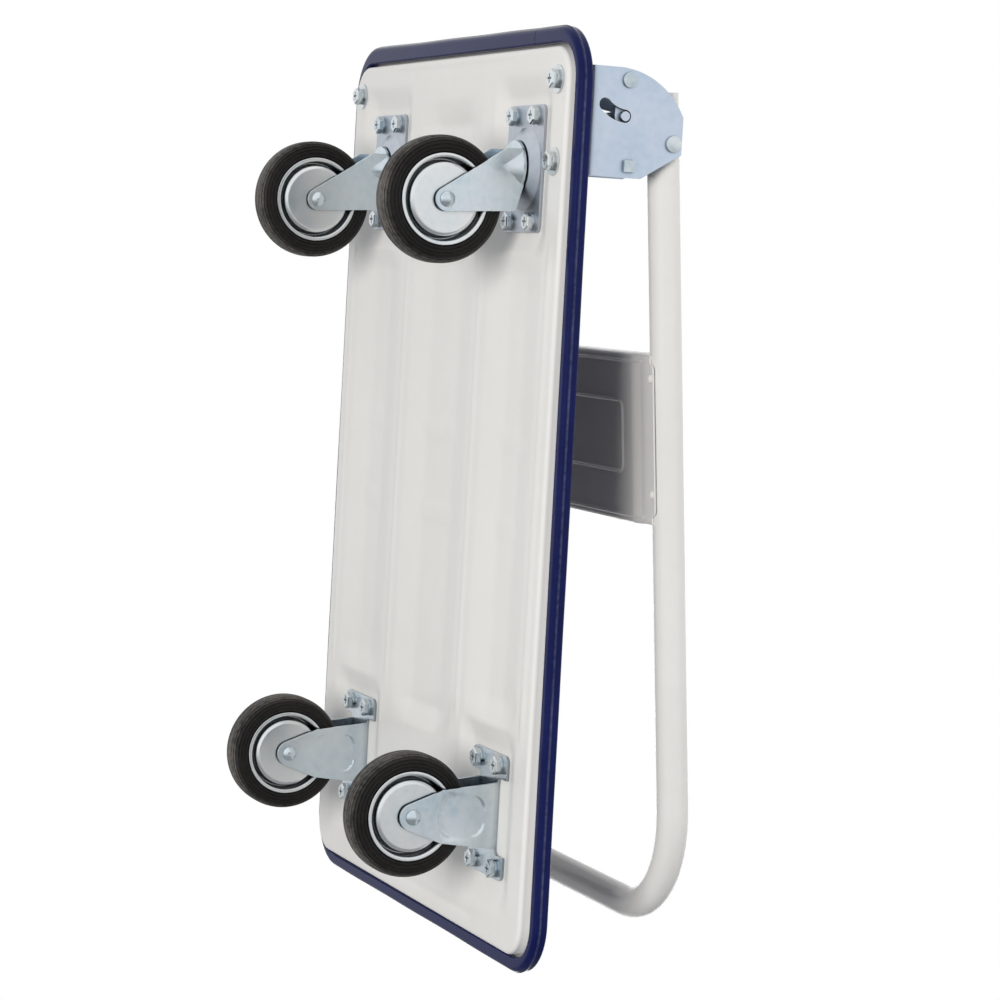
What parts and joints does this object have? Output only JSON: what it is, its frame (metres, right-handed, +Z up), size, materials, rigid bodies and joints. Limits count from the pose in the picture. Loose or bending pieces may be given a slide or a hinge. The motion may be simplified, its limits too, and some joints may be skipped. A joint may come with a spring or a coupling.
{
  "type": "folding platform cart",
  "caption": "Low pressed-steel platform cart on swivel and fixed casters, with a rubber edge bumper and a bent-tube handle that folds flat over the deck on sprung hinge brackets.",
  "frame": {"origin": "on the floor, under the middle of the deck", "axes": "+X from the hinge end to the end with the fixed casters, +Y to the left side, +Z up"},
  "size_m": [0.74, 0.49, 0.2742],
  "materials": {
    "cream_paint": "gloss enamel",
    "mat_rubber": "matte, ribbed",
    "bumper_vinyl": "satin",
    "zinc_steel": "bright zinc plate",
    "spring_steel": "plain",
    "caster_zinc": "blue-white zinc plate",
    "tyre_rubber": "matte"
  },
  "bodies": {
    "chassis": {"deck_pan": "cream_paint", "deck_top": "cream_paint", "deck_mat": "mat_rubber", "bumper": "bumper_vinyl", "hinge_bracket_right": "zinc_steel", "hinge_bracket_left": "zinc_steel", "bracket_bolts": "zinc_steel", "bracket_washers": "zinc_steel", "bracket_nuts": "zinc_steel", "bracket_spacers": "zinc_steel", "pivot_rivets": "zinc_steel", "latch_rivets": "zinc_steel", "stop_sleeves": "zinc_steel", "stop_bolts": "zinc_steel", "latch_springs": "spring_steel", "swivel_balls_right": "spring_steel", "swivel_balls_left": "spring_steel", "swivel_plate_right": "caster_zinc", "swivel_plate_left": "caster_zinc", "fixed_fork_right": "caster_zinc", "fixed_fork_left": "caster_zinc", "kingpins": "caster_zinc", "caster_bolts": "caster_zinc", "weld_nuts": "caster_zinc", "lock_washers": "caster_zinc", "axle_fixed_right": "caster_zinc", "axle_fixed_left": "caster_zinc"},
    "handle": {"handle_tube": "cream_paint", "handle_panel": "cream_paint", "panel_rivets": "cream_paint"},
    "latch": {"release_rod": "zinc_steel", "latch_lever_right": "zinc_steel", "latch_lever_left": "zinc_steel"},
    "swivel_right": {"swivel_fork_right": "caster_zinc", "axle_swivel_right": "caster_zinc"},
    "swivel_left": {"swivel_fork_left": "caster_zinc", "axle_swivel_left": "caster_zinc"},
    "wheel_swivel_right": {"tyre_swivel_right": "tyre_rubber", "rim_swivel_right_right": "caster_zinc", "rim_swivel_right_left": "caster_zinc", "bush_swivel_right": "caster_zinc"},
    "wheel_swivel_left": {"tyre_swivel_left": "tyre_rubber", "rim_swivel_left_right": "caster_zinc", "rim_swivel_left_left": "caster_zinc", "bush_swivel_left": "caster_zinc"},
    "wheel_fixed_right": {"tyre_fixed_right": "tyre_rubber", "rim_fixed_right_right": "caster_zinc", "rim_fixed_right_left": "caster_zinc", "bush_fixed_right": "caster_zinc"},
    "wheel_fixed_left": {"tyre_fixed_left": "tyre_rubber", "rim_fixed_left_right": "caster_zinc", "rim_fixed_left_left": "caster_zinc", "bush_fixed_left": "caster_zinc"}
  },
  "joints": [
    {"name": "handle_fold", "type": "hinge", "parent": "chassis", "child": "handle", "pos_m": [-0.283, 0, 0.2095], "axis": [0, -1, 0], "range_deg": [0, 85.2]},
    {"name": "latch_release", "type": "hinge", "parent": "chassis", "child": "latch", "pos_m": [-0.3295, 0, 0.1695], "axis": [0, 1, 0], "range_deg": [0, 40], "stiffness_Nm_per_rad": 0.5, "springref_deg": -20.05},
    {"name": "swivel_turn_right", "type": "hinge", "parent": "chassis", "child": "swivel_right", "pos_m": [-0.259, -0.15, 0.111], "axis": [0, 0, 1], "continuous": true},
    {"name": "swivel_turn_left", "type": "hinge", "parent": "chassis", "child": "swivel_left", "pos_m": [-0.259, 0.15, 0.111], "axis": [0, 0, 1], "continuous": true},
    {"name": "roll_swivel_right", "type": "hinge", "parent": "swivel_right", "child": "wheel_swivel_right", "pos_m": [-0.231, -0.15, 0.05], "axis": [0, 1, 0], "continuous": true},
    {"name": "roll_swivel_left", "type": "hinge", "parent": "swivel_left", "child": "wheel_swivel_left", "pos_m": [-0.231, 0.15, 0.05], "axis": [0, 1, 0], "continuous": true},
    {"name": "roll_fixed_right", "type": "hinge", "parent": "chassis", "child": "wheel_fixed_right", "pos_m": [0.255, -0.15, 0.05], "axis": [0, 1, 0], "continuous": true},
    {"name": "roll_fixed_left", "type": "hinge", "parent": "chassis", "child": "wheel_fixed_left", "pos_m": [0.255, 0.15, 0.05], "axis": [0, 1, 0], "continuous": true}
  ]
}
